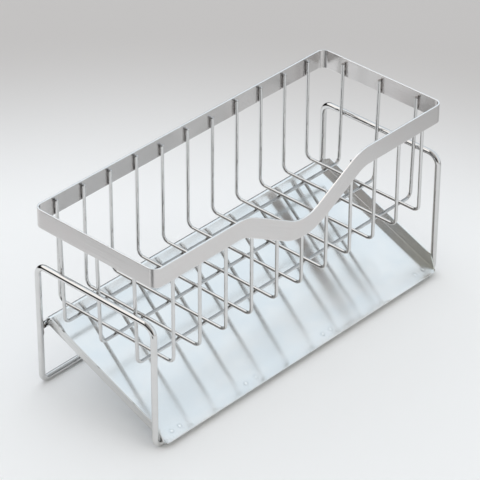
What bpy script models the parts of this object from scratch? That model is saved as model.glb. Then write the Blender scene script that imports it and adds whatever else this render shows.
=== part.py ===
"""Dish tool rack: a wire basket with a flat rim, held in a bent rod frame over a sloping drip tray.

Units are metres. X runs along the rack, -Y is its front, +Z is up, and Z = 0 is what it stands on.
"""
import math

import bmesh
import bpy
from mathutils import Matrix, Vector

# Fit between pieces that are welded together or rest on each other
weld_gap = 0.0003

# Points of a sheet closer than this are one point, and bends sharper than this show an edge
merge_distance = 0.00001
crease_angle = math.radians(30.0)

# Basket wires
wire_diameter = 0.0025
wire_bend_radius = 0.005
wire_bend_steps = 5
wire_sides = 8
cross_wire_count = 11
cross_wire_end_margin = 0.019
basket_floor_height = 0.0596
length_wire_side_margin = 0.022
length_wire_lean = 0.0021
wire_end_drop = 0.0033
front_end_drop = 0.0022
end_scatter = 0.0018
back_end_scatter_shares = (0.1, -0.5, -0.6, 0.7, -1.0, 0.1, -1.0, 0.7, -0.3, 0.2, 0.0)

# Rim band: one flat strip bent round the basket, its front edge dipping in the middle
band_length = 0.288
band_width = 0.112
band_height = 0.0146
band_thickness = 0.0012
band_corner_radius = 0.0065
band_corner_steps = 6
band_top_height = 0.1424
dip_depth = 0.0273
dip_angle = math.radians(28.0)
dip_shoulder_radius = 0.028
dip_bottom_radius = 0.036
dip_bend_steps = 8

# Rod frame
rod_diameter = 0.0045
rod_sides = 12
frame_width = 0.1126
end_bar_height = 0.0975
top_bend_radius = 0.008
foot_bend_radius = 0.005
rod_bend_steps = 6
support_rod_height = 0.0462

# Drip tray
sheet_thickness = 0.0008
tray_side_clearance = 0.0003
lip_height = 0.0092
lip_flare = math.radians(6.0)
lip_fold_radius = 0.0014
lip_fold_steps = 4
lip_foot_setback = 0.0024
lip_foot_slant = 0.0005
lip_back_setback = 0.0063
lip_chamfer_share = 0.45
lip_front_setback = 0.0038
lip_front_slant = 0.0088
curl_wrap = math.radians(190.0)
curl_steps = 10
curl_inset = 0.0045
curl_notch_length = 0.0016
front_overhang = 0.0052
front_edge_angle = math.radians(8.0)
front_corner_radius = 0.004
front_steps = 6

# Sizes worked out from those above
wire_radius = wire_diameter / 2
cross_wire_pitch = (band_length - 2 * cross_wire_end_margin) / (cross_wire_count - 1)
length_wire_spacing = band_width / 2 - length_wire_side_margin
rod_radius = rod_diameter / 2
facet_tilt = math.pi / rod_sides
foot_height = rod_radius * math.cos(facet_tilt)
leg_y = frame_width / 2 - rod_radius
length_wire_floor = basket_floor_height - wire_diameter - weld_gap
cross_wire_y = band_width / 2 - band_thickness - weld_gap - wire_radius
length_wire_top_x = band_length / 2 - band_thickness - weld_gap - wire_radius
length_wire_top_z = band_top_height - wire_end_drop
lean_angle = math.atan2(length_wire_lean, length_wire_top_z - length_wire_floor)
length_wire_foot_x = length_wire_top_x - length_wire_lean
bar_contact_x = length_wire_foot_x + (end_bar_height - length_wire_floor) * math.tan(lean_angle)
hoop_x = bar_contact_x + (wire_radius + weld_gap + rod_radius) / math.cos(lean_angle)

# The tray lies on the front foot rod and the support rod, so its slope follows from the two
tray_seat_radius = rod_radius + weld_gap
tray_slope = math.atan2(support_rod_height - foot_height, 2 * leg_y)
tray_length = math.hypot(support_rod_height - foot_height, 2 * leg_y)
lip_reach_x = hoop_x - rod_radius - tray_side_clearance
lip_straight = (lip_height - lip_fold_radius * (1 - math.sin(lip_flare))) / math.cos(lip_flare)
fold_start_x = (lip_reach_x - lip_fold_radius * math.cos(lip_flare)
                - lip_straight * math.sin(lip_flare))
plate_edge_x = fold_start_x + lip_fold_radius
curl_edge_x = plate_edge_x - curl_inset
front_curve_radius = front_overhang / (tray_slope - front_edge_angle)


def steel(name, colour, roughness):
    """A stainless steel finish."""
    material = bpy.data.materials.new(name)
    material.use_nodes = True
    shader = material.node_tree.nodes["Principled BSDF"]
    shader.inputs["Base Color"].default_value = (*colour, 1.0)
    shader.inputs["Metallic"].default_value = 1.0
    shader.inputs["Roughness"].default_value = roughness
    material.diffuse_color = (*colour, 1.0)
    return material


def rounded_path(corners, radii, steps):
    """A run of points through the corners, each inner corner turned on an arc of its radius."""
    points = [corners[0].copy()]
    for before, corner, after, radius in zip(corners, corners[1:], corners[2:], radii):
        back = (before - corner).normalized()
        ahead = (after - corner).normalized()
        turn = math.pi - back.angle(ahead)
        axis = back.cross(ahead).normalized()
        start = corner + back * (radius * math.tan(turn / 2))
        spoke = (axis.cross(back)).normalized()
        if spoke.dot(ahead) < 0:
            spoke = -spoke
        centre = start + spoke * radius
        for step in range(steps + 1):
            swing = Matrix.Rotation(-turn * step / steps, 3, axis)
            points.append(centre + swing @ (start - centre))
    points.append(corners[-1].copy())
    return points


def rod_object(name, points, diameter, sides, material, tilt=0.0):
    """A round rod or wire along a run of points, closed at both ends.

    Its section has four sides, and two more for each step of resolution.
    """
    curve = bpy.data.curves.new(name, "CURVE")
    curve.dimensions = "3D"
    curve.bevel_depth = diameter / 2
    curve.bevel_resolution = (sides - 4) // 2
    curve.use_fill_caps = True
    spline = curve.splines.new("POLY")
    spline.points.add(len(points) - 1)
    for place, point in zip(spline.points, points):
        place.co = (*point, 1.0)
        place.tilt = tilt
    curve.materials.append(material)
    return add_object(name, curve)


def add_object(name, data):
    """Puts a piece into the rack's collection, carried by the rack's reference point."""
    piece = bpy.data.objects.new(name, data)
    rack.objects.link(piece)
    piece.parent = reference
    return piece


def mesh_from_strips(name, rows, closed, thickness, material):
    """A bent sheet: quads between neighbouring rows of points, thickened behind their faces."""
    shape = bmesh.new()
    grid = [[shape.verts.new(point) for point in row] for row in rows]
    pairs = list(zip(grid, grid[1:]))
    if closed:
        pairs.append((grid[-1], grid[0]))
    for row, following in pairs:
        for a, b, c, d in zip(row, row[1:], following[1:], following):
            shape.faces.new((a, b, c, d))
    bmesh.ops.remove_doubles(shape, verts=shape.verts, dist=merge_distance)
    bmesh.ops.dissolve_degenerate(shape, edges=shape.edges, dist=merge_distance)
    mesh = bpy.data.meshes.new(name)
    shape.to_mesh(mesh)
    shape.free()
    mesh.shade_smooth()
    mesh.set_sharp_from_angle(angle=crease_angle)
    mesh.materials.append(material)
    piece = add_object(name, mesh)
    wall = piece.modifiers.new("wall", "SOLIDIFY")
    wall.thickness = thickness
    wall.offset = -1.0
    wall.use_even_offset = True
    return piece


def dip_line():
    """The strip's centre line along the front, from left to right, as (x, drop, lean) rows.

    Level strip, shoulder bend, straight slope, bottom bend at the middle, and the same again.
    """
    drop_corner = dip_depth / math.tan(dip_angle)
    bottom_rise = dip_bottom_radius * (1 / math.cos(dip_angle) - 1)
    shoulder_x = drop_corner + bottom_rise / math.tan(dip_angle)
    shoulder_x -= band_height / 2 * math.tan(dip_angle / 2)
    shoulder_start = shoulder_x + dip_shoulder_radius * math.tan(dip_angle / 2)
    right = []
    for step in range(dip_bend_steps + 1):
        lean = dip_angle * step / dip_bend_steps
        x = dip_bottom_radius * math.sin(lean)
        drop = dip_depth - dip_bottom_radius * (1 - math.cos(lean))
        right.append((x, drop, lean))
    for step in range(dip_bend_steps + 1):
        lean = dip_angle * (1 - step / dip_bend_steps)
        x = shoulder_start - dip_shoulder_radius * math.sin(lean)
        drop = dip_shoulder_radius * (1 - math.cos(lean))
        right.append((x, drop, lean))
    left = [(-x, drop, -lean) for x, drop, lean in reversed(right[1:])]
    return left + right


def dip_edge_height(x):
    """Height of the band's upper edge above the floor at a place along the front."""
    places = []
    for line_x, drop, lean in dip_line():
        edge_x = line_x - math.sin(lean) * band_height / 2
        edge_z = band_top_height - band_height / 2 - drop + math.cos(lean) * band_height / 2
        places.append((edge_x, edge_z))
    for (x0, z0), (x1, z1) in zip(places, places[1:]):
        if x0 <= x <= x1:
            return z0 + (z1 - z0) * (x - x0) / (x1 - x0)
    return band_top_height


def make_rim_band():
    """The rim: a strip on edge, round the basket's mouth, with the dipped front."""
    half_length = band_length / 2
    half_width = band_width / 2
    middle_z = band_top_height - band_height / 2
    rows = []

    def upright(x, y):
        rows.append([(x, y, middle_z + band_height / 2), (x, y, middle_z - band_height / 2)])

    for x, drop, lean in dip_line():
        across = Vector((-math.sin(lean), 0.0, math.cos(lean))) * band_height / 2
        place = Vector((x, -half_width, middle_z - drop))
        rows.append([place + across, place - across])
    corner_x = half_length - band_corner_radius
    corner_y = half_width - band_corner_radius
    corners = ((1, -1, -90.0), (1, 1, 0.0), (-1, 1, 90.0), (-1, -1, 180.0))
    for side_x, side_y, start in corners:
        for step in range(band_corner_steps + 1):
            swing = math.radians(start) + math.pi / 2 * step / band_corner_steps
            upright(side_x * corner_x + band_corner_radius * math.cos(swing),
                    side_y * corner_y + band_corner_radius * math.sin(swing))
    return mesh_from_strips("rim_band", rows, True, band_thickness, band_finish)


def make_cross_wires():
    """The U wires across the basket; their ends stop just under the rim's upper edge."""
    for index in range(cross_wire_count):
        x = (index - (cross_wire_count - 1) / 2) * cross_wire_pitch
        share = back_end_scatter_shares[index % len(back_end_scatter_shares)]
        back_z = band_top_height - wire_end_drop + end_scatter * share
        front_z = dip_edge_height(x) - front_end_drop
        corners = [Vector((0.0, cross_wire_y, back_z)),
                   Vector((0.0, cross_wire_y, basket_floor_height)),
                   Vector((0.0, -cross_wire_y, basket_floor_height)),
                   Vector((0.0, -cross_wire_y, front_z))]
        path = rounded_path(corners, (wire_bend_radius,) * 2, wire_bend_steps)
        wire = rod_object(f"cross_wire_{index + 1:02d}", path, wire_diameter, wire_sides, wire_finish)
        wire.location.x = x


def make_length_wires():
    """The three long U wires that lie under the cross wires and rise inside the rim's ends."""
    rows = (("back", 1), ("middle", 0), ("front", -1))
    for label, side in rows:
        corners = [Vector((-length_wire_top_x, 0.0, length_wire_top_z)),
                   Vector((-length_wire_foot_x, 0.0, length_wire_floor)),
                   Vector((length_wire_foot_x, 0.0, length_wire_floor)),
                   Vector((length_wire_top_x, 0.0, length_wire_top_z))]
        path = rounded_path(corners, (wire_bend_radius,) * 2, wire_bend_steps)
        wire = rod_object(f"length_wire_{label}", path, wire_diameter, wire_sides, wire_finish)
        wire.location.y = side * length_wire_spacing


def make_frame_halves():
    """Two bent rods: each is an end hoop whose feet turn inwards to the butt weld at mid-length."""
    for label, side in (("left", -1), ("right", 1)):
        inner = side * weld_gap / 2
        outer = side * hoop_x
        corners = [Vector((inner, -leg_y, foot_height)), Vector((outer, -leg_y, foot_height)),
                   Vector((outer, -leg_y, end_bar_height)), Vector((outer, leg_y, end_bar_height)),
                   Vector((outer, leg_y, foot_height)), Vector((inner, leg_y, foot_height))]
        radii = (foot_bend_radius, top_bend_radius, top_bend_radius, foot_bend_radius)
        path = rounded_path(corners, radii, rod_bend_steps)
        rod_object(f"frame_half_{label}", path, rod_diameter, rod_sides, rod_finish, facet_tilt)


def make_support_rod():
    """The straight rod between the back legs that carries the tray's curled edge."""
    reach = hoop_x - rod_radius - weld_gap
    ends = [Vector((-reach, 0.0, 0.0)), Vector((reach, 0.0, 0.0))]
    rod = rod_object("tray_support_rod", ends, rod_diameter, rod_sides, rod_finish)
    rod.location = (0.0, leg_y, support_rod_height)


def tray_stations():
    """Stations along the tray from its curled back edge to its front edge.

    Each is (place, up, half width, lip share), with place on the sheet's underside in Y and Z.
    """
    down_slope = Vector((0.0, -math.cos(tray_slope), -math.sin(tray_slope)))
    plate_up = Vector((0.0, -math.sin(tray_slope), math.cos(tray_slope)))
    back_rod = Vector((0.0, leg_y, support_rod_height))
    plate_start = back_rod + plate_up * tray_seat_radius
    stations = []
    for step in range(curl_steps, 0, -1):
        swing = math.pi / 2 + tray_slope - curl_wrap * step / curl_steps
        spoke = Vector((0.0, math.cos(swing), math.sin(swing)))
        stations.append((back_rod + spoke * tray_seat_radius, spoke, curl_edge_x, 0.0))
    lip_start = lip_foot_setback - lip_foot_slant
    lip_front = tray_length + lip_front_setback
    along = ((0.0, curl_edge_x, 0.0),
             (lip_start - curl_notch_length, curl_edge_x, 0.0),
             (lip_start, plate_edge_x, 0.0),
             (lip_foot_setback, plate_edge_x, 1.0 - lip_chamfer_share),
             (lip_back_setback, plate_edge_x, 1.0),
             (lip_front - lip_front_slant, plate_edge_x, 1.0))
    for distance, half_width, lip_share in along:
        place = plate_start + down_slope * distance
        stations.append((place, plate_up, half_width, lip_share))
    curve_start = plate_start + down_slope * tray_length
    centre = curve_start + plate_up * front_curve_radius
    for step in range(front_steps + 1):
        travel = front_overhang * step / front_steps
        slope = tray_slope - travel / front_curve_radius
        up = Vector((0.0, -math.sin(slope), math.cos(slope)))
        into_corner = max(0.0, travel - front_overhang + front_corner_radius)
        trim = front_corner_radius - math.sqrt(front_corner_radius ** 2 - into_corner ** 2)
        lip_left = (lip_front - tray_length - travel) / lip_front_slant
        stations.append((centre - up * front_curve_radius, up, plate_edge_x - trim,
                         max(0.0, min(1.0, lip_left))))
    return stations


def tray_row(place, up, half_width, lip_share):
    """One row of points across the tray: left lip, left fold, right fold, right lip."""
    side = []
    for step in range(lip_fold_steps + 1):
        swing = (math.pi / 2 - lip_flare) * step / lip_fold_steps
        side.append((fold_start_x + lip_fold_radius * math.sin(swing),
                     lip_fold_radius * (1 - math.cos(swing))))
    foot_x, foot_rise = side[-1]
    side.append((foot_x + lip_straight * math.sin(lip_flare),
                 foot_rise + lip_straight * math.cos(lip_flare)))
    flat_x = half_width - lip_fold_radius
    folded = []
    for x, rise in side:
        spread = (x - fold_start_x) / lip_fold_radius
        edge_x = min(flat_x + spread * lip_fold_radius, half_width)
        folded.append((edge_x + (x - edge_x) * lip_share, rise * lip_share))
    right = [Vector((x, 0.0, 0.0)) + place + up * rise for x, rise in folded]
    left = [Vector((-point.x, point.y, point.z)) for point in reversed(right)]
    return left + right


def make_drip_tray():
    """The tray: a sheet folded up at both sides and curled over the support rod at the back."""
    rows = [tray_row(*station) for station in tray_stations()]
    return mesh_from_strips("drip_tray", rows, False, sheet_thickness, tray_finish)


for stale in list(bpy.data.objects):
    bpy.data.objects.remove(stale, do_unlink=True)

rack = bpy.data.collections.new("dish_tool_rack")
bpy.context.scene.collection.children.link(rack)
reference = bpy.data.objects.new("rack_reference", None)
rack.objects.link(reference)

band_finish = steel("rim_band_satin_steel", (0.72, 0.71, 0.70), 0.35)
wire_finish = steel("basket_wire_polished_steel", (0.80, 0.79, 0.78), 0.18)
rod_finish = steel("frame_rod_polished_steel", (0.78, 0.77, 0.76), 0.16)
tray_finish = steel("drip_tray_bright_steel", (0.84, 0.86, 0.87), 0.12)

make_rim_band()
make_cross_wires()
make_length_wires()
make_frame_halves()
make_support_rod()
make_drip_tray()

# The reference point is midway between the tray's front edge and the back of its curl
front_edge, front_up = tray_stations()[-1][:2]
front_reach = min(front_edge.y, (front_edge + front_up * sheet_thickness).y)
back_reach = leg_y + tray_seat_radius + sheet_thickness
reference.location.y = -(front_reach + back_reach) / 2
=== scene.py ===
# %% [markdown]
# A dish tool rack, dressed for its portrait.
# The real rack is all stainless steel: a basket of thin wires hung from a flat rim, a frame of
# bent rod, and a sloping sheet that leads the drips away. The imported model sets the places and
# the reach, so each piece below starts from the boxes of its nodes and only gets rounder and
# finer inside them.

# %% Load the frame
import math

import bmesh
import bpy
from mathutils import Matrix, Vector


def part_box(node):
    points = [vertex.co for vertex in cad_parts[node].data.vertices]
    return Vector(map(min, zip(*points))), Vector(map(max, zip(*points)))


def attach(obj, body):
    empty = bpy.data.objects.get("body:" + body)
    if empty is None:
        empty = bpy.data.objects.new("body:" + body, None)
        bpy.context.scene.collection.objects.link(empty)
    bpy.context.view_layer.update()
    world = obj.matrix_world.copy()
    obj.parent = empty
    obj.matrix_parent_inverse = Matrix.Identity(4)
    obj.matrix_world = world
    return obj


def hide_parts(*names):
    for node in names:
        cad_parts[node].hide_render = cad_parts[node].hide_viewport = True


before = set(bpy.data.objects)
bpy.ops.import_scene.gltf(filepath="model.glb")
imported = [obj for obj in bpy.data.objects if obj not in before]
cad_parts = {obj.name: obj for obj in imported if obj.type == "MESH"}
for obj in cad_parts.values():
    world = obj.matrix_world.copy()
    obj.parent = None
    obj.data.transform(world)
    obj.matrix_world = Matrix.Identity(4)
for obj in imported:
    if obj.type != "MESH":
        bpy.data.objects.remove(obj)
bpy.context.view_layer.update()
scene = bpy.context.scene
print("nodes in the frame:", len(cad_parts))

# %% [markdown]
# Sizes first. A node's box says where a rod's axis runs, because the axis is one radius inside
# the box. Wires and rods here are truly round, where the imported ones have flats, so their axes
# are set from the box's outer faces and the round rods stay inside it.

# %% Sizes read from the nodes
mm = 0.001
wire_names = [f"cross_wire_{index:02d}" for index in range(1, 12)]
length_names = ["length_wire_back", "length_wire_middle", "length_wire_front"]
wire_boxes = [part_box(name) for name in wire_names]
length_boxes = [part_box(name) for name in length_names]
band_low, band_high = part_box("rim_band")
right_low, right_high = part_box("frame_half_right")
support_low, support_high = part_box("tray_support_rod")
tray_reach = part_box("drip_tray")[1].x

wire_radius = (wire_boxes[0][1].x - wire_boxes[0][0].x) / 2
rod_radius = (support_high.z - support_low.z) / 2
middle_y = (band_low.y + band_high.y) / 2
support_y = (support_low.y + support_high.y) / 2
support_z = (support_low.z + support_high.z) / 2
print("wire", round(wire_radius * 2000, 2), "mm, rod", round(rod_radius * 2000, 2), "mm")

# %% [markdown]
# The camera stands where the photograph was taken: to the left of the front, looking down at
# about a third of a right angle, far away with a long lens. Its right hand and its aim are
# written as directions, and the third axis follows from the two.

# %% Camera
camera_place = Vector((-1.19713, -1.09961, 1.15243))
camera_right = Vector((0.679823, -0.733368, 0.003572))
camera_aim = Vector((0.612115, 0.564727, -0.553533))
focal_length = 212.05
sensor_width = 36.0
nearest_seen = 0.05
farthest_seen = 20.0

camera_data = bpy.data.cameras.new("camera")
camera_data.sensor_width = sensor_width
camera_data.lens = focal_length
camera_data.clip_start = nearest_seen
camera_data.clip_end = farthest_seen
camera = bpy.data.objects.new("camera", camera_data)
scene.collection.objects.link(camera)
camera_up = camera_right.cross(camera_aim)
camera_axes = Matrix((camera_right, camera_up, -camera_aim)).transposed()
camera.matrix_world = Matrix.Translation(camera_place) @ camera_axes.to_4x4()
scene.camera = camera
print("camera", [round(value, 3) for value in camera.location], "lens", camera_data.lens)

# %% [markdown]
# Steel has no colour of its own to speak of. What the eye reads as steel is the room in it, a
# slight haze that grinding and rolling leave, and small faults. So every steel here is a full
# metal whose haze changes a little from place to place, with a fine relief under it. The helpers
# below add one or two nodes each and hand back a socket, so a finish reads like a recipe. A
# finish names its noises as (scale, detail, stretch, roughness), as far as it needs them, its
# hazes and fades as (low, high), and its relief as (depth, strength).

# %% Helpers for nodes and pieces
def set_inputs(tree, node, inputs):
    """Fixes a node's inputs, or links them to other sockets, by name or by number."""
    for key, value in inputs.items():
        if isinstance(value, bpy.types.NodeSocket):
            tree.links.new(value, node.inputs[key])
        else:
            node.inputs[key].default_value = value


def add_node(tree, kind, inputs=None, **settings):
    """A node with its settings and its inputs."""
    node = tree.nodes.new(kind)
    for name, value in settings.items():
        setattr(node, name, value)
    set_inputs(tree, node, inputs or {})
    return node


def noise_on(tree, source, scale, detail=3.0, stretch=(1.0, 1.0, 1.0), roughness=0.55):
    """Noise on coordinates that may be stretched first, for grain that runs one way."""
    stretched = add_node(tree, "ShaderNodeMapping", {"Vector": source, "Scale": stretch})
    noise = add_node(tree, "ShaderNodeTexNoise",
                     {"Vector": stretched.outputs["Vector"], "Scale": scale, "Detail": detail,
                      "Roughness": roughness})
    return noise.outputs["Fac"]


def between(tree, value, low, high, from_low=0.3, from_high=0.7):
    """A value led from one range into another."""
    node = add_node(tree, "ShaderNodeMapRange",
                    {"Value": value, "From Min": from_low, "From Max": from_high,
                     "To Min": low, "To Max": high},
                    clamp=True, interpolation_type="SMOOTHSTEP")
    return node.outputs["Result"]


def rising(tree, value, start=0.3, end=0.7):
    """A share that goes from 0 to 1 as the value passes from start to end."""
    return between(tree, value, 0.0, 1.0, start, end)


def falling(tree, value, start, end):
    """A share that goes from 1 to 0 as the value passes from start to end."""
    return between(tree, value, 1.0, 0.0, start, end)


def combined(tree, operation, first, second):
    """Two values joined by one sum, product or choice."""
    return add_node(tree, "ShaderNodeMath", {0: first, 1: second}, operation=operation).outputs[0]


def axes_of(tree, vector):
    """A vector's X, Y and Z."""
    return add_node(tree, "ShaderNodeSeparateXYZ", {0: vector}).outputs


def measured(tree, operation, vector, fixed):
    """A vector's distance from a fixed point, or its dot product with a fixed direction."""
    node = add_node(tree, "ShaderNodeVectorMath", {0: vector, 1: fixed}, operation=operation)
    return node.outputs["Value"]


def mixed_colour(tree, share, first, second):
    """Two colours, mixed by a share."""
    first, second = [colour if isinstance(colour, bpy.types.NodeSocket) else (*colour, 1.0)
                     for colour in (first, second)]
    node = add_node(tree, "ShaderNodeMix", {0: share, 6: first, 7: second}, data_type="RGBA")
    return node.outputs[2]


def new_piece(name, mesh):
    """An object for a mesh, linked to the scene."""
    piece = bpy.data.objects.new(name, mesh)
    scene.collection.objects.link(piece)
    return piece


def piece_from(name, shape, finish):
    """Turns a finished bmesh into a piece with its material."""
    mesh = bpy.data.meshes.new(name)
    shape.to_mesh(mesh)
    shape.free()
    mesh.materials.append(finish)
    return new_piece(name, mesh)


def new_steel(name):
    """An empty metal: the tree, its shader and its Object coordinates."""
    material = bpy.data.materials.new(name)
    material.use_nodes = True
    tree = material.node_tree
    shader = tree.nodes["Principled BSDF"]
    shader.inputs["Metallic"].default_value = 1.0
    place = add_node(tree, "ShaderNodeTexCoord")
    return material, tree, shader, place.outputs["Object"]


def add_relief(tree, shader, height, depth, strength=1.0):
    """Relief under the shader, its depth in metres."""
    bump = add_node(tree, "ShaderNodeBump",
                    {"Strength": strength, "Distance": depth, "Height": height})
    tree.links.new(bump.outputs["Normal"], shader.inputs["Normal"])


def smear_along(tree, shader, map_name, amount, turn):
    """Makes the haze longer one way, turned by a share of a full turn from the map's own run."""
    tangent = add_node(tree, "ShaderNodeTangent", direction_type="UV_MAP", uv_map=map_name)
    set_inputs(tree, shader, {"Tangent": tangent.outputs["Tangent"], "Anisotropic": amount,
                              "Anisotropic Rotation": turn})


# %% [markdown]
# Wire and rod are drawn through a die and polished, so they mirror the room most sharply, with
# faint clouding along them. One side of each wire is painted darker, as painted shade. The
# tray's support rod shows bare at its two ends, and is burnt there by the weld to the leg. A
# look below is (light tone, dark tone, haze), and a shaded side is (the way it faces, where that
# starts, where it is full, its painted shade colour).

# %% Wire and rod finishes
scorch_colour = (0.035, 0.03, 0.028)
scorch_reach = 8.0 * mm
scorch_core = 0.7
scorch_blotches = (700.0, 2.0)
scorch_fade = (0.42, 0.54)
drawn_clouds = (55.0, 4.0)
drawn_specks = (900.0, 2.0)
drawn_ripples = (260.0, 1.0)
haze_spread = (0.75, 1.3)
drawing_relief = (0.008 * mm, 0.5)
rod_look = ((0.74, 0.736, 0.73), (0.69, 0.686, 0.68), 0.045)
cross_look = ((0.72, 0.717, 0.712), (0.67, 0.667, 0.662), 0.05)
# Painted shade: the long wires' tones are darker than the cross wires'.
length_shaded_look = ((0.68, 0.677, 0.672), (0.62, 0.617, 0.612), 0.05)
cross_shaded_side = (Vector((-0.903, 0.0, 0.43)), 0.905, 0.96, (0.36, 0.357, 0.352))
length_shaded_side = (Vector((0.0, -0.26, 0.966)), 0.70, 0.97, (0.40, 0.397, 0.392))
leg_joint = Vector((support_high.x, support_y, support_z))


def scorched(tree, place, colour, joint):
    """Burn marks round a joint and its twin on the other side of the middle."""
    x, y, z = axes_of(tree, place)
    folded = add_node(tree, "ShaderNodeCombineXYZ",
                      {"X": combined(tree, "ABSOLUTE", x, 0.0), "Y": y, "Z": z})
    away = measured(tree, "DISTANCE", folded.outputs[0], joint)
    close = falling(tree, away, scorch_reach * scorch_core, scorch_reach)
    blotch = rising(tree, noise_on(tree, place, *scorch_blotches), *scorch_fade)
    return mixed_colour(tree, combined(tree, "MULTIPLY", close, blotch), colour, scorch_colour)


def drawn_steel(name, light, dark, haze, joint=None, shaded_side=None):
    """Polished wire or rod, cloudy between two tones, perhaps burnt, or with one side painted
    darker as shade.
    """
    material, tree, shader, place = new_steel(name)
    cloud = noise_on(tree, place, *drawn_clouds)
    colour = mixed_colour(tree, rising(tree, cloud), light, dark)
    # Painted shade: the side that faces one way gets a darker colour.
    if shaded_side is not None:
        direction, low, high, shade_colour = shaded_side
        normal = add_node(tree, "ShaderNodeNewGeometry").outputs["Normal"]
        facing = measured(tree, "DOT_PRODUCT", normal, direction)
        colour = mixed_colour(tree, rising(tree, facing, low, high), colour, shade_colour)
    if joint is not None:
        colour = scorched(tree, place, colour, joint)
    least, most = [haze * share for share in haze_spread]
    speck = between(tree, noise_on(tree, place, *drawn_specks), least, most)
    set_inputs(tree, shader, {"Base Color": colour, "Roughness": speck})
    add_relief(tree, shader, noise_on(tree, place, *drawn_ripples), *drawing_relief)
    return material


wire_steel = drawn_steel("wire_polished_steel", *cross_look, shaded_side=cross_shaded_side)
rod_steel = drawn_steel("rod_polished_steel", *rod_look)
long_wire_steel = drawn_steel("long_wire_polished_steel", *length_shaded_look,
                              shaded_side=length_shaded_side)
bare_end_steel = drawn_steel("bare_end_steel", *rod_look, joint=leg_joint)
print("drawn:", [m.name for m in (wire_steel, rod_steel, long_wire_steel, bare_end_steel)])

# %% [markdown]
# The tray is bright rolled sheet. It isn't quite flat: it is a little wavy, and its right half
# rises in a faint crown, which bends what it mirrors. Four pairs of spot welds hold its front
# margin to the rod below, and each left a pale dent with a grey rim. The lips are painted darker
# as shade, the right one with a warm grey-green tint on its front part, and the haze grows a
# little towards the front.

# %% Tray finish
wave_depth = 0.15 * mm
crown_rise = 2.8 * mm
crown_back_growth = 1.5
front_wear = 1.75
spot_dent_depth = 0.12 * mm
spot_places = [x * mm for x in (-128.5, -120.8, -55.8, -45.8, 23.4, 31.3, 123.5, 132.4)]
spot_y = right_low.y + rod_radius
sheet_tones = ((0.87, 0.89, 0.895), (0.95, 0.94, 0.925))
sheet_haze = (0.105, 0.135)
sheet_clouds = (26.0, 4.0, (1.0, 1.6, 1.6))
sheet_waves = (22.0, 1.5, (1.0, 1.4, 1.4))
sheet_patches = (40.0, 5.0)
sheet_specks = (1100.0, 2.0)
spot_rim_colour = (0.66, 0.69, 0.705)
spot_rim_share = 0.8
spot_speck_fade = (0.40, 0.56)
spot_heart_colour = (1.0, 1.0, 0.99)
left_lip_shade_colour = (0.71, 0.71, 0.70)
right_lip_shade_colour = (0.74, 0.75, 0.70)
spot_dent_fade = (0.5 * mm, 1.3 * mm)
spot_heart_fade = (0.6 * mm, 1.3 * mm)
spot_rim_fade = (1.5 * mm, 2.4 * mm)
left_lip_fade = (-138.6 * mm, -137.0 * mm)
right_lip_fade = (138.9 * mm, 139.9 * mm)
lip_front_fade = (-50.0 * mm, 0.0)
wear_fade = (-52.0 * mm, 30.0 * mm)
crown_fade = (-10.0 * mm, 120.0 * mm)
crown_back_fade = (-20.0 * mm, 50.0 * mm)


def rolled_steel(name):
    """The tray: bright rolled sheet, a little wavy, with cloudy patches of haze."""
    material, tree, shader, place = new_steel(name)
    x, y, _ = axes_of(tree, place)
    cloud = noise_on(tree, place, *sheet_clouds)
    colour = mixed_colour(tree, rising(tree, cloud), *sheet_tones)
    flat = add_node(tree, "ShaderNodeVectorMath", {0: place, 1: (1.0, 1.0, 0.0)},
                    operation="MULTIPLY")
    nearest = 1.0
    for spot_x in spot_places:
        away = measured(tree, "DISTANCE", flat.outputs[0], (spot_x, spot_y, 0.0))
        nearest = combined(tree, "MINIMUM", away, nearest)
    speck = rising(tree, noise_on(tree, place, *sheet_specks), *spot_speck_fade)
    spot_rim = between(tree, nearest, spot_rim_share, 0.0, *spot_rim_fade)
    spot_rim = combined(tree, "MULTIPLY", spot_rim, speck)
    spot_heart = falling(tree, nearest, *spot_heart_fade)
    # Painted shade: both lips get darker colours, the right one only towards the front.
    left_lip = falling(tree, x, *left_lip_fade)
    right_lip = combined(tree, "MULTIPLY", rising(tree, x, *right_lip_fade),
                         falling(tree, y, *lip_front_fade))
    for share, mark_colour in ((spot_rim, spot_rim_colour), (spot_heart, spot_heart_colour),
                               (left_lip, left_lip_shade_colour), (right_lip, right_lip_shade_colour)):
        colour = mixed_colour(tree, share, colour, mark_colour)
    patch = between(tree, noise_on(tree, place, *sheet_patches), *sheet_haze)
    wear = between(tree, y, front_wear, 1.0, *wear_fade)
    set_inputs(tree, shader, {"Base Color": colour,
                              "Roughness": combined(tree, "MULTIPLY", patch, wear)})
    smear_along(tree, shader, "down_slope", amount=1.0, turn=0.0)
    wave = combined(tree, "MULTIPLY", noise_on(tree, place, *sheet_waves), wave_depth)
    crown = combined(tree, "MULTIPLY", between(tree, x, 0.0, crown_rise, *crown_fade),
                     between(tree, y, 1.0, crown_back_growth, *crown_back_fade))
    dent = combined(tree, "MULTIPLY", falling(tree, nearest, *spot_dent_fade), spot_dent_depth)
    height = combined(tree, "SUBTRACT", combined(tree, "ADD", wave, crown), dent)
    add_relief(tree, shader, height, depth=1.0)
    return material


tray_steel = rolled_steel("tray_bright_steel")
print("sheet:", tray_steel.name, "with", len(spot_places), "spot welds")

# %% [markdown]
# Wire and rod are round stock bent over a former, so each one is a line with rounded corners
# and a circle swept along it. A small Geometry Nodes tree does this for all of them: the input
# is a plain mesh of edges, and the sizes are the tree's named inputs. The ends are cut off
# square and deburred, which the tree shows by slimming the last half millimetre. The lines are
# given more points close to their ends and bends, which keeps the long straights evenly lit.

# %% A tree that bends round stock
merge_distance = 0.01 * mm
end_share = 0.72


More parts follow.
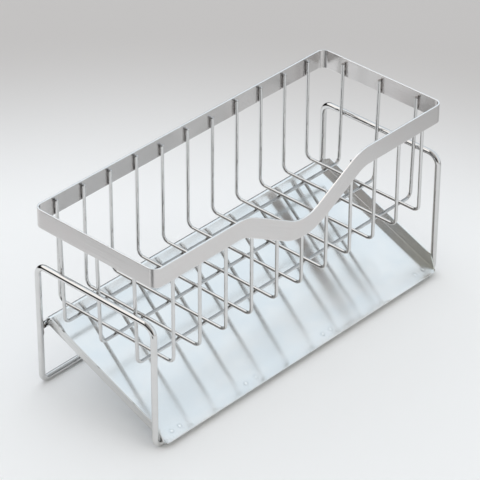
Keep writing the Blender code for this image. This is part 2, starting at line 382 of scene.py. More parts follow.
def new_tree(name, inputs, output):
    """A Geometry Nodes tree and its inputs, each given as (name, kind, first value)."""
    tree = bpy.data.node_groups.new(name, "GeometryNodeTree")
    for label, kind, value in inputs:
        socket = tree.interface.new_socket(name=label, in_out="INPUT",
                                           socket_type="NodeSocket" + kind)
        if value is not None:
            socket.default_value = value
    tree.interface.new_socket(name=output, in_out="OUTPUT", socket_type="NodeSocketGeometry")
    return tree, add_node(tree, "NodeGroupInput").outputs


def ending(tree, finish):
    """The last nodes of a tree: smooth shading, real geometry and its finish."""
    return (add_node(tree, "GeometryNodeSetShadeSmooth"),
            add_node(tree, "GeometryNodeRealizeInstances"),
            add_node(tree, "GeometryNodeSetMaterial", {"Material": finish}),
            add_node(tree, "NodeGroupOutput"))


def chained(tree, geometry, *nodes):
    """Leads geometry through nodes, from each one's first output to the next one's first input."""
    for node in nodes:
        tree.links.new(geometry, node.inputs[0])
        geometry = node.outputs[0] if node.outputs else None


def make_stock_tree():
    """Edges in, bent round stock out."""
    tree, sizes = new_tree("bent_round_stock", (
        ("Lines", "Geometry", None), ("Diameter", "Float", 2.5 * mm),
        ("Bend Radius", "Float", 5.0 * mm), ("Bend Steps", "Int", 12), ("Sides", "Int", 24),
        ("End Slimming", "Float", 0.5 * mm), ("Finish", "Material", None)), "Stock")
    line = add_node(tree, "GeometryNodeMeshToCurve")
    fillet = add_node(tree, "GeometryNodeFilletCurve",
                      {"Count": sizes["Bend Steps"], "Radius": sizes["Bend Radius"],
                       "Limit Radius": True}, mode="POLY")
    travel = add_node(tree, "GeometryNodeSplineParameter").outputs["Length"]
    whole = add_node(tree, "GeometryNodeSplineLength").outputs["Length"]
    from_end = combined(tree, "MINIMUM", travel, combined(tree, "SUBTRACT", whole, travel))
    slim = add_node(tree, "ShaderNodeMapRange",
                    {"Value": from_end, "From Max": sizes["End Slimming"], "To Min": end_share,
                     "To Max": 1.0},
                    clamp=True, interpolation_type="SMOOTHERSTEP")
    circle = add_node(tree, "GeometryNodeCurvePrimitiveCircle",
                      {"Resolution": sizes["Sides"],
                       "Radius": combined(tree, "MULTIPLY", sizes["Diameter"], 0.5)})
    sweep = add_node(tree, "GeometryNodeCurveToMesh",
                     {"Profile Curve": circle.outputs["Curve"], "Scale": slim.outputs["Result"],
                      "Fill Caps": True})
    merge = add_node(tree, "GeometryNodeMergeByDistance", {"Distance": merge_distance})
    chained(tree, sizes["Lines"], line, fillet, sweep, merge, *ending(tree, sizes["Finish"]))
    return tree


stock_tree = make_stock_tree()
print("tree:", stock_tree.name, "with", len(stock_tree.nodes), "nodes")


# %% [markdown]
# A tree runs on a carrier object. Its result is taken off as a plain mesh and the carrier is
# thrown away, so no modifier and no tree is left on the pieces of the rack.

# %% Run a tree and keep its result
def run_tree(name, mesh, tree, settings):
    """Gives the mesh to the tree and returns an object that holds the finished mesh."""
    carrier = new_piece(name + "_carrier", mesh)
    modifier = carrier.modifiers.new("shape", "NODES")
    modifier.node_group = tree
    for item in tree.interface.items_tree:
        if item.item_type == "SOCKET" and item.in_out == "INPUT" and item.name in settings:
            modifier[item.identifier] = settings[item.name]
    bpy.context.view_layer.update()
    seen = carrier.evaluated_get(bpy.context.evaluated_depsgraph_get())
    result = bpy.data.meshes.new_from_object(seen)
    result.name = name
    bpy.data.objects.remove(carrier)
    print(name, len(result.polygons), "faces")
    return new_piece(name, result)


# %% Lines for the tree
end_steps = (0.12 * mm, 0.28 * mm, 0.5 * mm)
support_step = 0.6 * mm


def line_mesh(name, lines, bend):
    """A mesh of open lines, with more points close to the ends and outside each bend.

    They keep the shading of a long straight stretch straight.
    """
    points = []
    edges = []
    for corners in lines:
        run = [corners[0]]
        last = len(corners) - 2
        for index, (here, there) in enumerate(zip(corners, corners[1:])):
            ahead = (there - here).normalized()
            leave = list(end_steps) if index == 0 else [bend]
            arrive = list(end_steps) if index == last else [bend]
            near = ([] if index else leave) + [leave[-1] + support_step]
            far = ([] if index < last else arrive) + [arrive[-1] + support_step]
            if (there - here).length > near[-1] + far[-1]:
                run += [here + ahead * step for step in near]
                run += [there - ahead * step for step in reversed(far)]
            run.append(there)
        edges += [(len(points) + i, len(points) + i + 1) for i in range(len(run) - 1)]
        points += run
    mesh = bpy.data.meshes.new(name)
    mesh.from_pydata(points, edges, [])
    return mesh


def bent_stock(name, lines, bend, settings, finish):
    """Round stock bent along lines."""
    inputs = {**settings, "Bend Radius": bend, "End Slimming": end_steps[-1], "Finish": finish}
    return run_tree(name, line_mesh(name + "_lines", lines, bend), stock_tree, inputs)


# %% [markdown]
# The basket is eleven U-shaped wires that cross three longer ones. Their back ends stop at
# uneven heights, because each was welded by hand against the strip. The heights are those of
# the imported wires: the highest point of a wire is its back end, and the front end follows the
# rim's dip, so it is found from the highest point on the node's front half.

# %% Cross wires
wire_bend = 5.0 * mm
front_reach = 40.0 * mm
wire_settings = {"Diameter": wire_radius * 2, "Bend Steps": 14, "Sides": 24}


def front_top(name):
    """Height of a wire's front end, read from the node's own points."""
    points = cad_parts[name].data.vertices
    return max(point.co.z for point in points if point.co.y < middle_y - front_reach)


cross_lines = []
for name, (low, high) in zip(wire_names, wire_boxes):
    x = (low.x + high.x) / 2
    front_y = low.y + wire_radius
    back_y = high.y - wire_radius
    floor_z = low.z + wire_radius
    cross_lines.append([Vector((x, back_y, high.z)), Vector((x, back_y, floor_z)),
                        Vector((x, front_y, floor_z)), Vector((x, front_y, front_top(name)))])
cross_wires = bent_stock("cross_wires", cross_lines, wire_bend, wire_settings, wire_steel)

# %% [markdown]
# The three long wires lean outwards from floor to rim, so their ends touch the hoops low down
# and the rim at their tips.

# %% Length wires
length_lean = 2.1 * mm
length_lines = []
for low, high in length_boxes:
    y = (low.y + high.y) / 2
    top_x = high.x - wire_radius
    floor_z = low.z + wire_radius
    foot_x = top_x - length_lean
    length_lines.append([Vector((-top_x, y, high.z)), Vector((-foot_x, y, floor_z)),
                         Vector((foot_x, y, floor_z)), Vector((top_x, y, high.z))])
length_wires = bent_stock("length_wires", length_lines, wire_bend, wire_settings,
                          long_wire_steel)

# %% [markdown]
# The frame is two rods, each bent into an end hoop whose feet turn in along the floor and meet
# in the middle. The corners at the top are wider than those at the feet. One run of the tree has
# one bend radius, so all of these corners are given as short runs of points, and the tree only
# sweeps them. Each bend is a radius and a number of steps. The straight rod between the back
# legs carries the tray.

# %% Frame rods
hoop_x = right_high.x - rod_radius
front_leg_y = right_low.y + rod_radius
back_leg_y = right_high.y - rod_radius
foot_z = right_low.z + rod_radius
bar_z = right_high.z - rod_radius
foot_gap = right_low.x
foot_bend = (5.0 * mm, 14)
top_bend = (8.0 * mm, 16)


def turned_corner(before, corner, after, radius, steps):
    """Points on an arc that rounds one square corner."""
    back = (before - corner).normalized()
    ahead = (after - corner).normalized()
    centre = corner + (back + ahead) * radius
    arc = []
    for step in range(steps + 1):
        swing = math.pi / 2 * step / steps
        arc.append(centre - ahead * radius * math.cos(swing) - back * radius * math.sin(swing))
    return arc


frame_bends = (foot_bend, top_bend, top_bend, foot_bend)
frame_lines = []
for side in (-1, 1):
    outer = side * hoop_x
    inner = side * foot_gap
    path = [Vector(point) for point in (
        (inner, front_leg_y, foot_z), (outer, front_leg_y, foot_z), (outer, front_leg_y, bar_z),
        (outer, back_leg_y, bar_z), (outer, back_leg_y, foot_z), (inner, back_leg_y, foot_z))]
    run = path[:1]
    for before, corner, after, bend in zip(path, path[1:], path[2:], frame_bends):
        run += turned_corner(before, corner, after, *bend)
    frame_lines.append(run + path[-1:])
rod_settings = {"Diameter": rod_radius * 2, "Bend Steps": 1, "Sides": 32}
frame_rods = bent_stock("frame_rods", frame_lines, 0.0, rod_settings, rod_steel)
support_line = [Vector((x, support_y, support_z)) for x in (support_low.x, support_high.x)]
support_rod = bent_stock("support_rod", [support_line], 0.0, rod_settings, bare_end_steel)

# %% [markdown]
# The rim is a strip 1.2 mm thick on edge. Its outline is level except at the front, where it
# dips on two straight slopes with rounded shoulders. It is swept in code, because the grain
# needs a map along the strip, and because the strip's long edges are rounded: those thin
# rounded edges draw the bright line round the rim, helped by a brighter colour painted on them
# as highlight.

# %% Rim sizes
band_height = 14.6 * mm
band_thickness = 1.2 * mm
corner_radius = 6.5 * mm
edge_radius = 0.32 * mm
edge_steps = 5
dip_depth = 27.3 * mm
dip_angle = math.radians(28.0)
shoulder_radius = 28.0 * mm
bottom_radius = 36.0 * mm
dip_steps = 20
corner_steps = 14
half_length = (band_high.x - band_low.x) / 2
half_width = (band_high.y - band_low.y) / 2
band_top = band_high.z
section_round = 2 * (band_height + band_thickness) - (8 - 2 * math.pi) * edge_radius
print("rim", round(half_length * 2, 4), "m long,", round(half_width * 2, 4), "m deep")

# %% [markdown]
# The strip is ground along its length. Its grain is noise drawn out on the strip's own map, and
# the haze is smeared across the grain. The map's second number runs round the section, so it
# also finds the rounded edges, which get a brighter colour as a painted highlight. Faint stains
# cloud the flats, and the left half of the back is painted darker as shade.

# %% Rim finish
grain_relief = (0.01 * mm, 0.3)
strip_grain = (1.0, 3.0, (14.0, 2600.0, 1.0), 0.6)
strip_clouds = (38.0, 3.0)
ground_haze = (0.20, 0.27)
ground_tones = ((0.70, 0.68, 0.67), (0.66, 0.642, 0.632))
stain_colour = (0.68, 0.635, 0.625)
stain_share = 0.5
stain_fade = (0.45, 0.75)
edge_fade_shares = (0.85, 1.25)
shaded_back_colour = (0.57, 0.555, 0.548)
edge_highlight_colour = (0.95, 0.94, 0.93)
shaded_back_fades = ((-138.0 * mm, -125.0 * mm), (-25.0 * mm, 5.0 * mm), (45.0 * mm, 50.0 * mm))


def ground_steel(name):
    """The rim: a flat strip ground along its length, so its grain follows its own map."""
    material, tree, shader, place = new_steel(name)
    strip_map = add_node(tree, "ShaderNodeUVMap", uv_map="along_strip").outputs["UV"]
    grain = noise_on(tree, strip_map, *strip_grain)
    cloud = noise_on(tree, place, *strip_clouds)
    half_flat = band_thickness / 2 - edge_radius
    from_edge = combined(tree, "ADD", axes_of(tree, strip_map)["Y"], half_flat)
    from_edge = combined(tree, "PINGPONG", from_edge, section_round / 4)
    # Painted highlight: the rounded edges get a brighter colour.
    edge_reach = half_flat + edge_radius * math.pi / 2
    on_edge = falling(tree, from_edge, *[edge_reach * share for share in edge_fade_shares])
    colour = mixed_colour(tree, rising(tree, grain), *ground_tones)
    stain = between(tree, cloud, 0.0, stain_share, *stain_fade)
    x, y, _ = axes_of(tree, place)
    # Painted shade: the left part of the back gets a darker colour.
    corner_fade, middle_fade, back_fade = shaded_back_fades
    shaded_back = combined(tree, "MULTIPLY", rising(tree, x, *corner_fade),
                         falling(tree, x, *middle_fade))
    shaded_back = combined(tree, "MULTIPLY", shaded_back, rising(tree, y, *back_fade))
    for share, mark_colour in ((stain, stain_colour), (shaded_back, shaded_back_colour),
                               (on_edge, edge_highlight_colour)):
        colour = mixed_colour(tree, share, colour, mark_colour)
    haze = between(tree, grain, *ground_haze)
    set_inputs(tree, shader, {"Base Color": colour, "Roughness": haze})
    smear_along(tree, shader, "along_strip", amount=0.6, turn=0.25)
    add_relief(tree, shader, grain, *grain_relief)
    return material


band_steel = ground_steel("rim_ground_steel")
print("strip:", band_steel.name)


# %% Rim outline
def dip_places():
    """The strip's middle line along the front as (x, drop, lean), from left to right."""
    drop_corner = dip_depth / math.tan(dip_angle)
    bottom_rise = bottom_radius * (1 / math.cos(dip_angle) - 1)
    shoulder_x = drop_corner + bottom_rise / math.tan(dip_angle)
    shoulder_x -= band_height / 2 * math.tan(dip_angle / 2)
    shoulder_start = shoulder_x + shoulder_radius * math.tan(dip_angle / 2)
    right = []
    for step in range(dip_steps + 1):
        lean = dip_angle * step / dip_steps
        right.append((bottom_radius * math.sin(lean),
                      dip_depth - bottom_radius * (1 - math.cos(lean)), lean))
    for step in range(dip_steps + 1):
        lean = dip_angle * (1 - step / dip_steps)
        right.append((shoulder_start - shoulder_radius * math.sin(lean),
                      shoulder_radius * (1 - math.cos(lean)), lean))
    return [(-x, drop, -lean) for x, drop, lean in reversed(right[1:])] + right


def rim_stations():
    """Stations round the rim: the strip's outer middle point, its upward and its outward."""
    stations = []
    middle_z = band_top - band_height / 2
    for x, drop, lean in dip_places():
        stations.append((Vector((x, middle_y - half_width, middle_z - drop)),
                         Vector((-math.sin(lean), 0.0, math.cos(lean))), Vector((0, -1, 0))))
    corner_x = half_length - corner_radius
    corner_y = half_width - corner_radius
    up = Vector((0.0, 0.0, 1.0))
    for side_x, side_y, start in ((1, -1, -90), (1, 1, 0), (-1, 1, 90), (-1, -1, 180)):
        centre = Vector((side_x * corner_x, middle_y + side_y * corner_y, middle_z))
        for step in range(corner_steps + 1):
            swing = math.radians(start + 90 * step / corner_steps)
            out = Vector((math.cos(swing), math.sin(swing), 0.0))
            onward = Vector((-out.y, out.x, 0.0)) * support_step
            place = centre + out * corner_radius
            if step == 0:
                stations.append((place - onward, up, out))
            stations.append((place, up, out))
            if step == corner_steps:
                stations.append((place + onward, up, out))
    return stations


def rim_section():
    """The strip's section as (across, inward) points, its four edges rounded."""
    tall = band_height / 2 - edge_radius
    deep = band_thickness / 2 - edge_radius
    points = []
    for side_tall, side_deep, start in ((1, -1, 90), (-1, -1, 180), (-1, 1, 270), (1, 1, 0)):
        arc = []
        for step in range(edge_steps + 1):
            swing = math.radians(start + 90 * step / edge_steps)
            arc.append((side_tall * tall + edge_radius * math.sin(swing),
                        band_thickness / 2 + side_deep * deep + edge_radius * math.cos(swing)))
        away = support_step / 2 * side_tall
        if side_tall * side_deep < 0:
            arc.append((arc[-1][0] - away, arc[-1][1]))
        else:
            arc.insert(0, (arc[0][0] - away, arc[0][1]))
        points += arc
    return points


# %% Sweep the rim
def distances(points):
    """How far along a line of points each one lies."""
    run = [0.0]
    for here, there in zip(points, points[1:]):
        run.append(run[-1] + math.dist(here, there))
    return run


def mapped_shape(map_name, rows, along, across):
    """Faces between rows of points, with a map of how far along and across they lie, in metres.

    One more distance than there are rows, or points in a row, closes the shape that way.
    """
    shape = bmesh.new()
    layer = shape.loops.layers.uv.new(map_name)
    grid = [[shape.verts.new(point) for point in row] for row in rows]
    for i in range(len(along) - 1):
        here, there = grid[i], grid[(i + 1) % len(grid)]
        for j in range(len(across) - 1):
            k = (j + 1) % len(here)
            face = shape.faces.new((here[j], here[k], there[k], there[j]))
            face.smooth = True
            spots = ((along[i], across[j]), (along[i], across[j + 1]),
                     (along[i + 1], across[j + 1]), (along[i + 1], across[j]))
            for loop, spot in zip(face.loops, spots):
                loop[layer].uv = spot
    return shape


def swept_strip(name, stations, section, finish):
    """A closed sweep of a section round the stations."""
    rings = [[place + up * rise - out * inward for rise, inward in section]
             for place, up, out in stations]
    along = distances([place for place, _, _ in stations + stations[:1]])
    shape = mapped_shape("along_strip", rings, along, distances(section + section[:1]))
    bmesh.ops.recalc_face_normals(shape, faces=shape.faces)
    print(name, "is", round(along[-1], 4), "m round,", len(shape.faces), "faces")
    return piece_from(name, shape, finish)


rim = swept_strip("rim_strip", rim_stations(), rim_section(), band_steel)

# %% [markdown]
# The tray is one sheet. Both sides are folded up into lips, the back edge is rolled over the
# support rod, and the front edge flattens out to let the drips run off. It is laid out in rows
# across, from the rolled edge to the front, then given its thickness by Solidify and its
# deburred edges by a small Bevel. The two lips stand at unlike angles, as on the photograph.
# A lip share says how far a lip is folded up: 0 is flat and 1 is its full height. The packed
# foot rod lies on a flat, so its axis is a little lower than a round rod's, and the tray's
# slope is found from that axis.

# %% Tray sizes
sheet_thickness = 0.8 * mm
weld_gap = 0.3 * mm
fold_radius = 1.4 * mm
fold_steps = 8
lip_steps = 4
flat_steps = 24
slope_steps = 12
lip_height = 9.2 * mm
lip_lean_left = math.radians(10.0)
lip_lean_right = math.radians(1.5)
lip_foot_back = 2.4 * mm
lip_foot_slant = 0.5 * mm
lip_top_back = 6.3 * mm
chamfer_share = 0.45
lip_front_setback = 3.8 * mm
lip_front_slant = 8.8 * mm
roll_wrap = math.radians(190.0)
roll_steps = 28
roll_inset = 4.5 * mm
notch_length = 1.6 * mm
front_overhang = 5.2 * mm
front_angle = math.radians(8.0)
front_corner = 4.0 * mm
front_steps = 12
deburr_width = 0.27 * mm
deburr_steps = 3
deburr_angle = math.radians(50.0)
rod_flat_share = math.cos(math.pi / 12)

seat_radius = rod_radius + weld_gap
foot_rise = rod_radius * rod_flat_share
leg_span = support_y - (right_low.y + foot_rise)
tray_slope = math.atan2(support_z - foot_rise, leg_span)
tray_length = math.hypot(support_z - foot_rise, leg_span)
front_curve = front_overhang / (tray_slope - front_angle)
print("tray slope", round(math.degrees(tray_slope), 2), "degrees, length", round(tray_length, 4))


# %% Tray rows
def tray_stations():
    """(place, up, edge inset, lip share) from the rolled back edge to the front edge."""
    down = Vector((0.0, -math.cos(tray_slope), -math.sin(tray_slope)))
    plate_up = Vector((0.0, -math.sin(tray_slope), math.cos(tray_slope)))
    rod = Vector((0.0, support_y, support_z))
    start = rod + plate_up * seat_radius
    stations = []
    for step in range(roll_steps, 0, -1):
        swing = math.pi / 2 + tray_slope - roll_wrap * step / roll_steps
        spoke = Vector((0.0, math.cos(swing), math.sin(swing)))
        stations.append((rod + spoke * seat_radius, spoke, roll_inset, 0.0))
    lip_start = lip_foot_back - lip_foot_slant
    lip_front = tray_length + lip_front_setback
    along = [(0.0, roll_inset, 0.0), (lip_start - notch_length, roll_inset, 0.0),
             (lip_start, 0.0, 0.0), (lip_foot_back, 0.0, 1.0 - chamfer_share),
             (lip_top_back, 0.0, 1.0)]
    body = lip_front - lip_front_slant
    along += [(lip_top_back + (body - lip_top_back) * step / slope_steps, 0.0, 1.0)
              for step in range(1, slope_steps + 1)]
    for distance, inset, share in along:
        stations.append((start + down * distance, plate_up, inset, share))
    curve_start = start + down * tray_length
    centre = curve_start + plate_up * front_curve
    for step in range(front_steps + 1):
        travel = front_overhang * step / front_steps
        slope = tray_slope - travel / front_curve
        up = Vector((0.0, -math.sin(slope), math.cos(slope)))
        into = max(0.0, travel - front_overhang + front_corner)
        trim = front_corner - math.sqrt(front_corner ** 2 - into ** 2)
        share = (lip_front - tray_length - travel) / lip_front_slant
        stations.append((centre - up * front_curve, up, trim, max(0.0, min(1.0, share))))
    return stations


def side_profile(lean, inset, share):
    """One side of a row as (x, rise) from the flat sheet outwards, for the right-hand side."""
    straight = (lip_height - fold_radius * (1 - math.sin(lean))) / math.cos(lean)
    fold_start = tray_reach - fold_radius * math.cos(lean) - straight * math.sin(lean)
    plate_edge = fold_start + fold_radius
    profile = []
    for step in range(fold_steps + 1):
        swing = (math.pi / 2 - lean) * step / fold_steps
        profile.append((fold_start + fold_radius * math.sin(swing),
                        fold_radius * (1 - math.cos(swing))))
    foot_x, foot_up = profile[-1]
    for step in range(1, lip_steps + 1):
        part = step / lip_steps
        profile.append((foot_x + straight * math.sin(lean) * part,
                        foot_up + straight * math.cos(lean) * part))
    half_width = plate_edge - inset
    flat_x = half_width - fold_radius
    folded = []
    for x, rise in profile:
        spread = (x - fold_start) / fold_radius
        edge_x = min(flat_x + spread * fold_radius, half_width)
        folded.append((edge_x + (x - edge_x) * share, rise * share))
    return folded


def tray_row(place, up, inset, share):
    """A row of points across the tray from the left lip to the right lip."""
    left = [(-x, rise) for x, rise in reversed(side_profile(lip_lean_left, inset, share))]
    right = side_profile(lip_lean_right, inset, share)
    flat_start = left[-1][0] + support_step
    flat_end = right[0][0] - support_step
    flat = [(flat_start + (flat_end - flat_start) * step / flat_steps, 0.0)
            for step in range(flat_steps + 1)]
    return [Vector((x, place.y, place.z)) + up * rise for x, rise in left + flat + right]


# %% Tray sheet
def bent_sheet(name, rows, finish):
    """A sheet from rows of points, with its thickness and its deburred edges."""
    down = distances([row[len(row) // 2] for row in rows])
    shape = mapped_shape("down_slope", rows, down, distances(rows[len(rows) // 2]))
    bmesh.ops.remove_doubles(shape, verts=shape.verts, dist=merge_distance)
    bmesh.ops.dissolve_degenerate(shape, edges=shape.edges, dist=merge_distance)
    print(name, "is", round(down[-1], 4), "m from back to front,", len(shape.faces), "faces")
    piece = piece_from(name, shape, finish)
    wall = piece.modifiers.new("wall", "SOLIDIFY")
    wall.thickness = sheet_thickness
    wall.offset = -1.0
    wall.use_even_offset = True
    edge = piece.modifiers.new("deburred_edge", "BEVEL")
    edge.width = deburr_width
    edge.segments = deburr_steps
    edge.limit_method = "ANGLE"
    edge.angle_limit = deburr_angle
    edge.use_clamp_overlap = True
    edge.harden_normals = True
    return piece


tray = bent_sheet("tray_sheet", [tray_row(*station) for station in tray_stations()], tray_steel)

# %% [markdown]
# Every joint on the rack is a small resistance weld: the two parts are pressed together, melt
# for an instant, and a little metal squeezes out, darkened by the heat. One lump of weld metal
# is made once and set down on a cloud of points. Each point carries the two directions that
# lay the lump along its joint, and its size as (out, across, along).

# %% Weld finish
weld_relief = (0.12 * mm, 0.6)
weld_tones = ((0.42, 0.40, 0.385), (0.20, 0.185, 0.175))
weld_specks = (1400.0, 4.0)
weld_haze = (0.22, 0.42)


def burnt_steel(name):
    """Weld metal: rougher, and darkened by its heat."""
    material, tree, shader, place = new_steel(name)
    speck = noise_on(tree, place, *weld_specks)
    colour = mixed_colour(tree, rising(tree, speck), *weld_tones)
    haze = between(tree, speck, *weld_haze)
    set_inputs(tree, shader, {"Base Color": colour, "Roughness": haze})
    add_relief(tree, shader, speck, *weld_relief)
    return material


weld_steel = burnt_steel("weld_darkened_steel")
print("welds:", weld_steel.name)

# %% A tree that sets weld beads on points
seed_step = 3.7
bead_noise_scale = 1300.0


def named_vector(tree, name):
    """A vector that each point carries under its own name."""
    node = add_node(tree, "GeometryNodeInputNamedAttribute", {"Name": name},
                    data_type="FLOAT_VECTOR")
    return node.outputs["Attribute"]


def make_weld_tree():
    """Points in, weld beads out."""
    tree, sizes = new_tree("weld_beads", (
        ("Joints", "Geometry", None), ("Bead Radius", "Float", 1.0 * mm),
        ("Unevenness", "Float", 0.2), ("Seed", "Int", 7), ("Finish", "Material", None)), "Beads")
    ball = add_node(tree, "GeometryNodeMeshIcoSphere",
                    {"Radius": sizes["Bead Radius"], "Subdivisions": 3})
    turn = add_node(tree, "FunctionNodeAxesToRotation",
                    {0: named_vector(tree, "along"), 1: named_vector(tree, "out_of")},
                    primary_axis="Z", secondary_axis="X")
    place = add_node(tree, "GeometryNodeInstanceOnPoints",
                     {"Instance": ball.outputs["Mesh"], "Rotation": turn.outputs[0],
                      "Scale": named_vector(tree, "size")})
    realize = add_node(tree, "GeometryNodeRealizeInstances")
    spot = add_node(tree, "GeometryNodeInputPosition").outputs[0]
    seed = combined(tree, "MULTIPLY", sizes["Seed"], seed_step)
    noise = add_node(tree, "ShaderNodeTexNoise",
                     {"Vector": spot, "W": seed, "Scale": bead_noise_scale, "Detail": 1.0},
                     noise_dimensions="4D")
    centred = combined(tree, "SUBTRACT", noise.outputs["Fac"], 0.5)
    reach = combined(tree, "MULTIPLY", sizes["Unevenness"], sizes["Bead Radius"])
    normal = add_node(tree, "GeometryNodeInputNormal").outputs[0]
    push = add_node(tree, "ShaderNodeVectorMath",
                    {0: normal, "Scale": combined(tree, "MULTIPLY", centred, reach)},
                    operation="SCALE")
    move = add_node(tree, "GeometryNodeSetPosition", {"Offset": push.outputs[0]})
    chained(tree, sizes["Joints"], place, realize, move, *ending(tree, sizes["Finish"]))
    return tree


weld_tree = make_weld_tree()
print("tree:", weld_tree.name, "with", len(weld_tree.nodes), "nodes")


# %% Beads on joints
bead_radius = 1.0 * mm


def weld_beads(name, joints, unevenness, seed):
    """Beads on joints, each given as (place, along, out of the joint, size)."""
    mesh = bpy.data.meshes.new(name + "_points")
    mesh.from_pydata([joint[0] for joint in joints], [], [])
    for column, label in ((1, "along"), (2, "out_of"), (3, "size")):
        layer = mesh.attributes.new(label, "FLOAT_VECTOR", "POINT")
        for item, joint in zip(layer.data, joints):
            item.vector = joint[column]
    return run_tree(name, mesh, weld_tree, {"Bead Radius": bead_radius, "Seed": seed,
                                            "Unevenness": unevenness, "Finish": weld_steel})


# %% Joints of the basket
upward = Vector((0.0, 0.0, 1.0))
rightward = Vector((1.0, 0.0, 0.0))
backward = Vector((0.0, 1.0, 0.0))
tip_bead = (0.55, 0.95, 3.2)
crossing_bead = (0.55, 1.15, 1.15)
cross_tip_drop = 5.2 * mm
length_tip_drop = 5.0 * mm
touch = wire_radius + weld_gap / 2

basket_joints = []
for line, (low, high) in zip(cross_lines, wire_boxes):
    for tip, out in ((line[0], backward), (line[3], -backward)):
        basket_joints.append((tip - upward * cross_tip_drop + out * touch, upward, out, tip_bead))
    for run in length_lines:
        crossing = Vector((line[0].x, run[1].y, low.z - weld_gap / 2))
        basket_joints.append((crossing, rightward, upward, crossing_bead))
for run in length_lines:
    for tip, out in ((run[0], -rightward), (run[3], rightward)):
        basket_joints.append((tip - upward * length_tip_drop + out * touch, upward, out, tip_bead))
basket_welds = weld_beads("basket_welds", basket_joints, unevenness=0.5, seed=7)

# %% [markdown]
# The frame has its own joints: the long wires against the end bars, the support rod against the
# back legs with a smaller bead below and a run down the leg, and the butt joints in the middle
# of the two foot rods, where beads sit round the rod and leave its underside flat on the floor.

# %% Joints of the frame
bar_bead = (0.6, 1.25, 1.6)
leg_bead = (1.0, 1.9, 1.9)
lower_bead = (1.0, 1.0, 1.2)
lower_bead_drop = 2.3 * mm
run_bead = (0.35, 0.8, 2.6)
run_bead_drop = 4.2 * mm
run_bead_facing = Vector((-0.60, -0.80, 0.0))
butt_bead = (0.5, 1.5, 0.72)
butt_bead_sink = 0.75 * mm
butt_bead_angles = range(-20, 201, 44)

frame_joints = []
for run in length_lines:
    for side_x in (-1, 1):
        place = Vector((side_x * (hoop_x - rod_radius - weld_gap / 2), run[1].y, bar_z))
        frame_joints.append((place, upward, rightward * side_x, bar_bead))
for side_x in (-1, 1):
    leg = Vector((side_x * (hoop_x - rod_radius), support_y, support_z))
    frame_joints.append((leg, backward, rightward * side_x, leg_bead))
    frame_joints.append((leg - upward * lower_bead_drop, backward, rightward * side_x, lower_bead))
    inward = Vector((side_x * run_bead_facing.x, run_bead_facing.y, 0.0))
    run_top = Vector((side_x * hoop_x, back_leg_y, support_z - run_bead_drop))
    frame_joints.append((run_top + inward * rod_radius, upward, inward, run_bead))
for foot_y in (front_leg_y, back_leg_y):
    for angle in butt_bead_angles:
        around = Vector((0.0, math.cos(math.radians(angle)), math.sin(math.radians(angle))))
        place = Vector((0.0, foot_y, foot_z)) + around * (rod_radius - butt_bead_sink)
        frame_joints.append((place, around, rightward, butt_bead))
frame_welds = weld_beads("frame_welds", frame_joints, unevenness=0.4, seed=11)

# %% [markdown]
# Last come the room and the floor. Polished steel shows the room, so the room is built for what
# each piece mirrors: a pale sky that dims to the left, a long lamp box over the back, darkness
# low down at the left back, where a real studio ends, and a dark stand on the camera's side.
# The dark parts draw the thin dark lines along the rods. The paper doesn't mirror anything, so
# it gets a plain light of its own, stronger from behind, and the camera sees a grey backdrop.
# Each fade is a pair: where it starts and where it ends, along the direction looked in.

# %% Room
sky_strength = 0.88
sky_left_strength = 0.10
sky_fade = (-0.80, 0.10)
front_strength = 0.30
front_fade = (0.12, 0.34)
lamp_box_strength = 1.30
lamp_box_side_fade = (0.20, 0.50)
lamp_box_back_fade = (0.28, 0.50)
gloom_strength = 0.01
gloom_direction = Vector((-0.50, 0.866, 0.0))
gloom_fade = (0.0, 0.20)
low_fade = (0.31, 0.42)
stand_direction = Vector((-0.78, -0.60, 0.18)).normalized()
stand_fade = (0.94, 0.975)
warm_light = (1.0, 0.97, 0.945)
cool_light = (0.93, 1.02, 1.09)
hue_fade = (-0.2, 0.6)
even_dim = (0.69, 0.66, 0.61)
even_bright = (1.15, 1.18, 1.23)
even_direction = Vector((0.30, 0.954, 0.0))
even_fade = (-0.8, 0.8)
backdrop_colour = (0.535, 0.525, 0.52)

world = bpy.data.worlds.new("studio")
scene.world = world
world.use_nodes = True
room = world.node_tree
look = add_node(room, "ShaderNodeTexCoord").outputs["Generated"]
look_x, look_y, look_z = axes_of(room, look)


def towards(direction, fade):
    """How far a direction of the room lies towards a given one."""
    return rising(room, measured(room, "DOT_PRODUCT", look, direction), *fade)


sky = combined(room, "MAXIMUM",
               between(room, look_x, sky_left_strength, sky_strength, *sky_fade),
               between(room, look_y, front_strength, 0.0, *front_fade))
lamp_box = combined(room, "MULTIPLY", falling(room, look_x, *lamp_box_side_fade),
                    between(room, look_y, 0.0, lamp_box_strength, *lamp_box_back_fade))
is_low = falling(room, look_z, *low_fade)
gloom = combined(room, "MULTIPLY", towards(gloom_direction, gloom_fade), is_low)
gloom = combined(room, "MAXIMUM", gloom, towards(stand_direction, stand_fade))
room_light = combined(room, "MULTIPLY", combined(room, "MAXIMUM", sky, lamp_box),
                      combined(room, "SUBTRACT", 1.0, gloom))
room_light = combined(room, "ADD", room_light, gloom_strength)
hue = mixed_colour(room, rising(room, look_x, *hue_fade), warm_light, cool_light)
tinted = add_node(room, "ShaderNodeVectorMath", {0: hue, "Scale": room_light}, operation="SCALE")
even = mixed_colour(room, towards(even_direction, even_fade), even_dim, even_bright)
seen_by = add_node(room, "ShaderNodeLightPath").outputs
lit = mixed_colour(room, seen_by["Is Diffuse Ray"], tinted.outputs[0], even)
backdrop = mixed_colour(room, seen_by["Is Camera Ray"], lit, backdrop_colour)
set_inputs(room, room.nodes["Background"], {"Color": backdrop, "Strength": 1.0})
print("room:", len(room.nodes), "nodes")

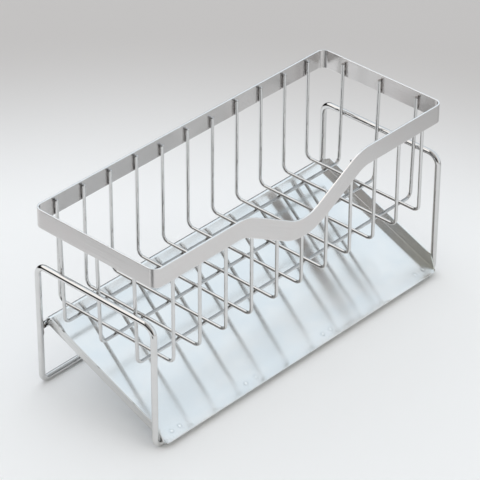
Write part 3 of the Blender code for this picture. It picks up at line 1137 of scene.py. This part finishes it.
# %% [markdown]
# The floor is a round sheet of paper, pale near the rack and greyer with distance, a painted
# falloff of light. The steel sees three dark places painted on it that the camera doesn't, as
# painted dark reflections: far out on the left and back, a painted shadow of a stand in front
# on the left, and a slight painted dimming to the right.

# %% Floor
near_colour = (0.925, 0.944, 0.958)
far_colour = (0.56, 0.55, 0.545)
fade_centre = Vector((-0.34, -0.24, 0.0))
distance_fade = (0.545, 0.84)
floor_radius = 1.0
floor_sides = 96
floor_roughness = 0.9
floor_sheen = 0.1
left_edge_fade = (-0.36, -0.33)
back_fade = (0.02, 0.12)
right_dimming = 0.24
right_fade = (0.08, 0.34)
stand_foot = Vector((-0.385, -0.115, 0.0))
stand_foot_fade = (0.06, 0.10)


def make_floor():
    """A round paper floor, painted greyer with distance from its middle, with painted dark
    reflections for steel.
    """
    shape = bmesh.new()
    bmesh.ops.create_circle(shape, cap_ends=True, segments=floor_sides, radius=floor_radius)
    bmesh.ops.translate(shape, verts=shape.verts, vec=fade_centre)
    material = bpy.data.materials.new("floor_paper")
    material.use_nodes = True
    tree = material.node_tree
    place = add_node(tree, "ShaderNodeTexCoord").outputs["Object"]
    x, y, _ = axes_of(tree, place)
    away = measured(tree, "DISTANCE", place, fade_centre)
    colour = mixed_colour(tree, rising(tree, away, *distance_fade), near_colour, far_colour)
    # Painted dark reflections, seen only by the steel: far left and back, a dimming to the right,
    # a stand's shadow.
    painted_dark_left = combined(tree, "MULTIPLY", falling(tree, x, *left_edge_fade),
                         rising(tree, y, *back_fade))
    painted_dim_right = between(tree, x, 0.0, right_dimming, *right_fade)
    from_stand = measured(tree, "DISTANCE", place, stand_foot)
    painted_stand_shadow = falling(tree, from_stand, *stand_foot_fade)
    dark = combined(tree, "MAXIMUM", painted_dark_left, painted_dim_right)
    dark = combined(tree, "MAXIMUM", dark, painted_stand_shadow)
    seen_in_steel = add_node(tree, "ShaderNodeLightPath").outputs["Is Glossy Ray"]
    dark = combined(tree, "MULTIPLY", dark, seen_in_steel)
    colour = mixed_colour(tree, dark, colour, (gloom_strength,) * 3)
    set_inputs(tree, tree.nodes["Principled BSDF"],
               {"Base Color": colour, "Roughness": floor_roughness,
                "Specular IOR Level": floor_sheen})
    return piece_from("floor", shape, material)


floor = make_floor()
print("floor:", round(floor_radius * 2, 2), "m across")

# %% [markdown]
# One large soft lamp, above and behind the rack, lays its faint shadow on the paper. The steel
# doesn't mirror the lamp, because the room's lamp box already stands for it there.

# %% Lamp
lamp_size = 1.25
lamp_power = 1.95
lamp_place = Vector((0.50, 0.80, 1.40))

lamp_data = bpy.data.lights.new("soft_lamp", "AREA")
lamp_data.shape = "SQUARE"
lamp_data.size = lamp_size
lamp_data.energy = lamp_power
lamp = bpy.data.objects.new("soft_lamp", lamp_data)
lamp.location = lamp_place
lamp.rotation_euler = (-lamp_place).to_track_quat("-Z", "Y").to_euler()
lamp.visible_glossy = False
scene.collection.objects.link(lamp)
scene.view_settings.view_transform = "Standard"
print("lamp:", lamp_size, "m wide,", lamp_power, "W")

# %% [markdown]
# The rack has no moving part, so every piece rides on the one body. Each new piece hides the
# imported nodes that it stands for.

# %% Hand the pieces to the frame
handover = (
    (rim, "rim_band", ["rim_band"]),
    (cross_wires, "basket_wires", wire_names),
    (length_wires, "basket_wires", length_names),
    (frame_rods, "frame_rods", ["frame_half_left", "frame_half_right"]),
    (support_rod, "frame_rods", ["tray_support_rod"]),
    (tray, "drip_tray", ["drip_tray"]),
    (basket_welds, "basket_wires", []),
    (frame_welds, "frame_rods", []),
)
for piece, slot_name, nodes in handover:
    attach(piece, "root")
    if nodes:
        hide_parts(*nodes)
